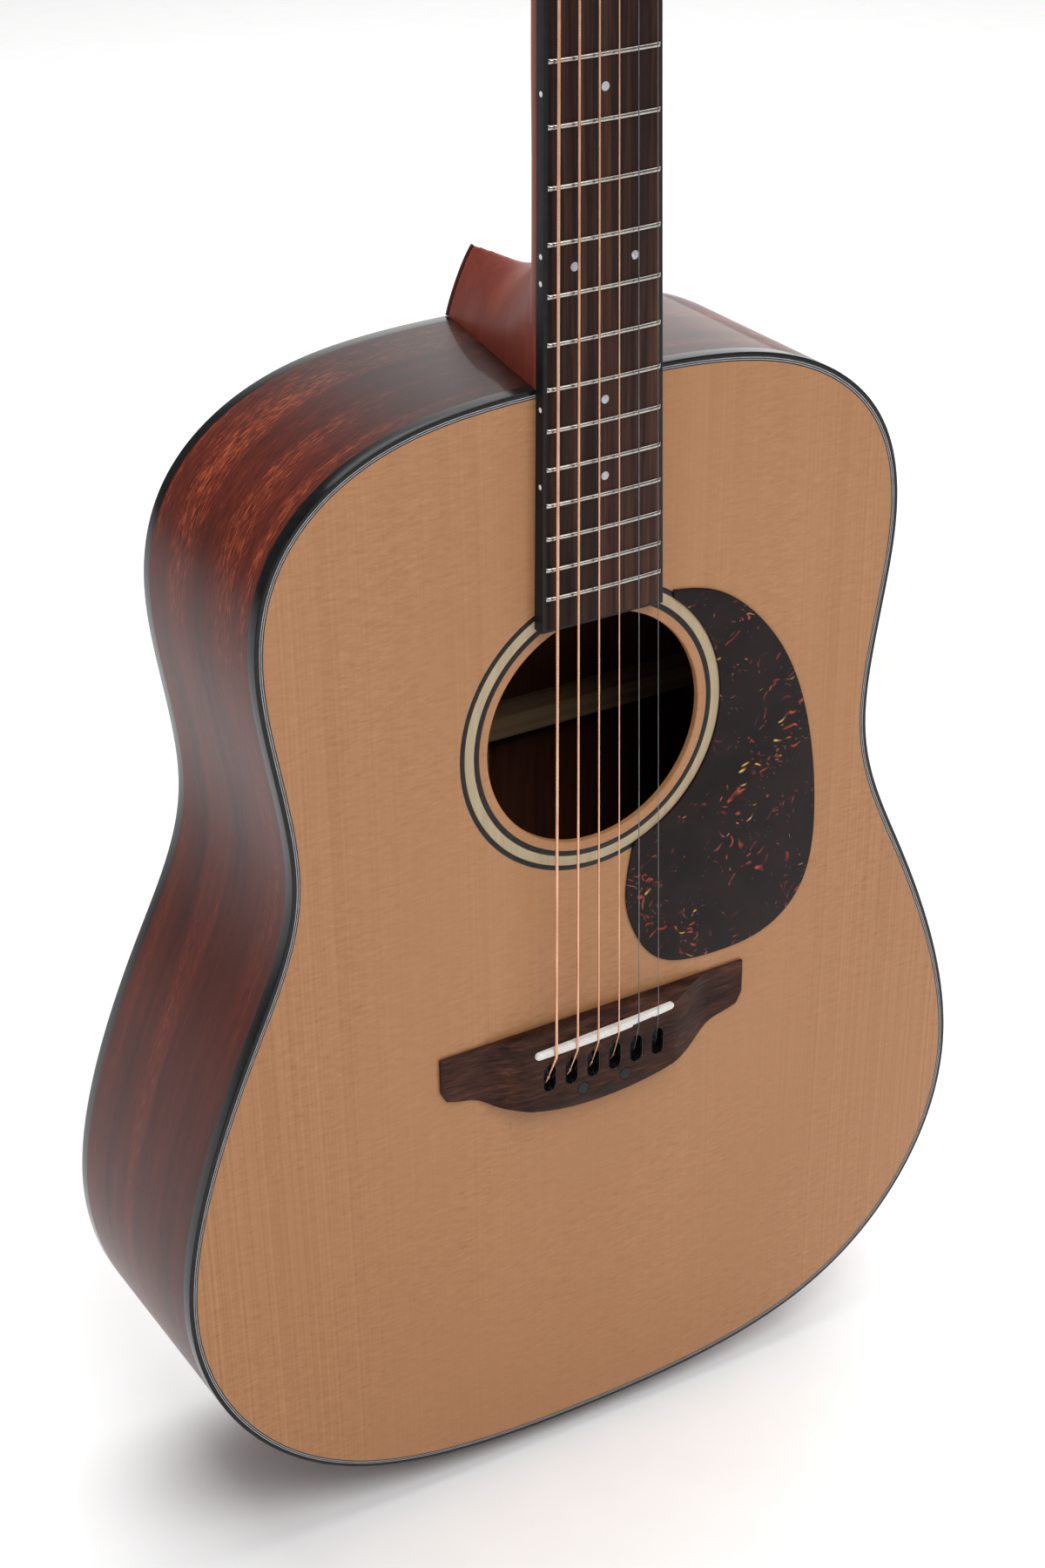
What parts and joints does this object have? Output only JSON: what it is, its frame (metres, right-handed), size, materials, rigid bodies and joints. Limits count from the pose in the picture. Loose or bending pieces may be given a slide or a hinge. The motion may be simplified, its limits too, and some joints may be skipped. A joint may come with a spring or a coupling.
{
  "type": "acoustic guitar",
  "caption": "Steel-string acoustic guitar with a dreadnought body, glossy spruce top, dark mahogany back and sides, rosewood board and pinless bridge.",
  "frame": {"origin": "centre of the end pin's flat outer face, the guitar's lowest point when it stands upright", "axes": "+Z from the tail along the body and neck to the head, -Y out of the soundboard on the side of the strings, +X to the treble side"},
  "size_m": [0.3992, 0.1302, 1.0513],
  "materials": {
    "spruce_top": "clear gloss over fine straight-grained spruce",
    "mahogany_body": "clear gloss over dark red-brown ribbon-striped mahogany",
    "mahogany_neck": "satin, red-brown",
    "inside_wood": "bare planed spruce, mahogany and maple",
    "rosewood": "oiled, dark brown with black streaks",
    "black_binding": "gloss black",
    "black_plastic": "polished black",
    "rosette_inlay": "cream wood between two black lines, under gloss",
    "tortoise_sheet": "near-black sheet with amber and red flecks",
    "bone": "polished off-white",
    "steel": "plain steel",
    "tuner_chrome": "polished plating",
    "bronze_winding": "fine bronze winding",
    "plain_steel": "drawn wire"
  },
  "bodies": {
    "guitar": {"back_brace_1": "inside_wood", "back_brace_2": "inside_wood", "back_brace_3": "inside_wood", "back_brace_4": "inside_wood", "back_centre_strip": "inside_wood", "back_plate": "mahogany_body", "binding_back": "black_binding", "binding_top": "black_binding", "bridge": "rosewood", "bridge_plate": "inside_wood", "bridge_plug_bass": "black_plastic", "bridge_plug_treble": "black_plastic", "end_pin": "black_plastic", "fingerboard": "rosewood", "fingerboard_binding": "black_binding", "headstock_veneer": "rosewood", "heel_cap": "black_binding", "lining_back": "inside_wood", "lining_top": "inside_wood", "neck": "mahogany_neck", "neck_block": "inside_wood", "nut": "bone", "pickguard": "tortoise_sheet", "rosette": "rosette_inlay", "saddle": "bone", "side_bass": "mahogany_body", "side_treble": "mahogany_body", "soundboard": "spruce_top", "string_1": "plain_steel", "string_2": "plain_steel", "string_3": "bronze_winding", "string_4": "bronze_winding", "string_5": "bronze_winding", "string_6": "bronze_winding", "tail_block": "inside_wood", "tone_bar_lower": "inside_wood", "tone_bar_upper": "inside_wood", "truss_rod": "steel", "tuner_1_housing": "tuner_chrome", "tuner_2_housing": "tuner_chrome", "tuner_3_housing": "tuner_chrome", "tuner_4_housing": "tuner_chrome", "tuner_5_housing": "tuner_chrome", "tuner_6_housing": "tuner_chrome", "upper_brace": "inside_wood", "x_brace_bass": "inside_wood", "x_brace_treble": "inside_wood"},
    "tuner_1_knob": {"tuner_1_knob": "tuner_chrome"},
    "tuner_1_post": {"tuner_1_post": "tuner_chrome"},
    "tuner_2_knob": {"tuner_2_knob": "tuner_chrome"},
    "tuner_2_post": {"tuner_2_post": "tuner_chrome"},
    "tuner_3_knob": {"tuner_3_knob": "tuner_chrome"},
    "tuner_3_post": {"tuner_3_post": "tuner_chrome"},
    "tuner_4_knob": {"tuner_4_knob": "tuner_chrome"},
    "tuner_4_post": {"tuner_4_post": "tuner_chrome"},
    "tuner_5_knob": {"tuner_5_knob": "tuner_chrome"},
    "tuner_5_post": {"tuner_5_post": "tuner_chrome"},
    "tuner_6_knob": {"tuner_6_knob": "tuner_chrome"},
    "tuner_6_post": {"tuner_6_post": "tuner_chrome"},
    "truss_rod_nut": {"truss_rod_nut": "steel"}
  },
  "joints": [
    {"name": "tuner_1_knob_turn", "type": "hinge", "parent": "guitar", "child": "tuner_1_knob", "pos_m": [0.0205, -0.02625, 0.91046], "axis": [1, 0, 0], "continuous": true},
    {"name": "tuner_1_post_turn", "type": "hinge", "parent": "guitar", "child": "tuner_1_post", "pos_m": [0.0205, -0.02931, 0.91967], "axis": [0, -0.9703, 0.2419], "continuous": true},
    {"name": "tuner_2_knob_turn", "type": "hinge", "parent": "guitar", "child": "tuner_2_knob", "pos_m": [0.0225, -0.01609, 0.95121], "axis": [1, 0, 0], "continuous": true},
    {"name": "tuner_2_post_turn", "type": "hinge", "parent": "guitar", "child": "tuner_2_post", "pos_m": [0.0225, -0.01915, 0.96042], "axis": [0, -0.9703, 0.2419], "continuous": true},
    {"name": "tuner_3_knob_turn", "type": "hinge", "parent": "guitar", "child": "tuner_3_knob", "pos_m": [0.0245, -0.00593, 0.99196], "axis": [1, 0, 0], "continuous": true},
    {"name": "tuner_3_post_turn", "type": "hinge", "parent": "guitar", "child": "tuner_3_post", "pos_m": [0.0245, -0.00899, 1.00118], "axis": [0, -0.9703, 0.2419], "continuous": true},
    {"name": "tuner_4_knob_turn", "type": "hinge", "parent": "guitar", "child": "tuner_4_knob", "pos_m": [-0.0245, -0.00593, 0.99196], "axis": [-1, 0, 0], "continuous": true},
    {"name": "tuner_4_post_turn", "type": "hinge", "parent": "guitar", "child": "tuner_4_post", "pos_m": [-0.0245, -0.00899, 1.00118], "axis": [0, -0.9703, 0.2419], "continuous": true},
    {"name": "tuner_5_knob_turn", "type": "hinge", "parent": "guitar", "child": "tuner_5_knob", "pos_m": [-0.0225, -0.01609, 0.95121], "axis": [-1, 0, 0], "continuous": true},
    {"name": "tuner_5_post_turn", "type": "hinge", "parent": "guitar", "child": "tuner_5_post", "pos_m": [-0.0225, -0.01915, 0.96042], "axis": [0, -0.9703, 0.2419], "continuous": true},
    {"name": "tuner_6_knob_turn", "type": "hinge", "parent": "guitar", "child": "tuner_6_knob", "pos_m": [-0.0205, -0.02625, 0.91046], "axis": [-1, 0, 0], "continuous": true},
    {"name": "tuner_6_post_turn", "type": "hinge", "parent": "guitar", "child": "tuner_6_post", "pos_m": [-0.0205, -0.02931, 0.91967], "axis": [0, -0.9703, 0.2419], "continuous": true},
    {"name": "truss_rod_adjust", "type": "hinge", "parent": "guitar", "child": "truss_rod_nut", "pos_m": [0, -0.04981, 0.4226], "axis": [0, 0.008, 1], "range_deg": [-180, 180]}
  ],
  "couplings": [
    {"joint": "tuner_1_post_turn", "follows": "tuner_1_knob_turn", "ratio": -0.071429},
    {"joint": "tuner_2_post_turn", "follows": "tuner_2_knob_turn", "ratio": -0.071429},
    {"joint": "tuner_3_post_turn", "follows": "tuner_3_knob_turn", "ratio": -0.071429},
    {"joint": "tuner_6_post_turn", "follows": "tuner_6_knob_turn", "ratio": -0.071429},
    {"joint": "tuner_5_post_turn", "follows": "tuner_5_knob_turn", "ratio": -0.071429},
    {"joint": "tuner_4_post_turn", "follows": "tuner_4_knob_turn", "ratio": -0.071429}
  ]
}
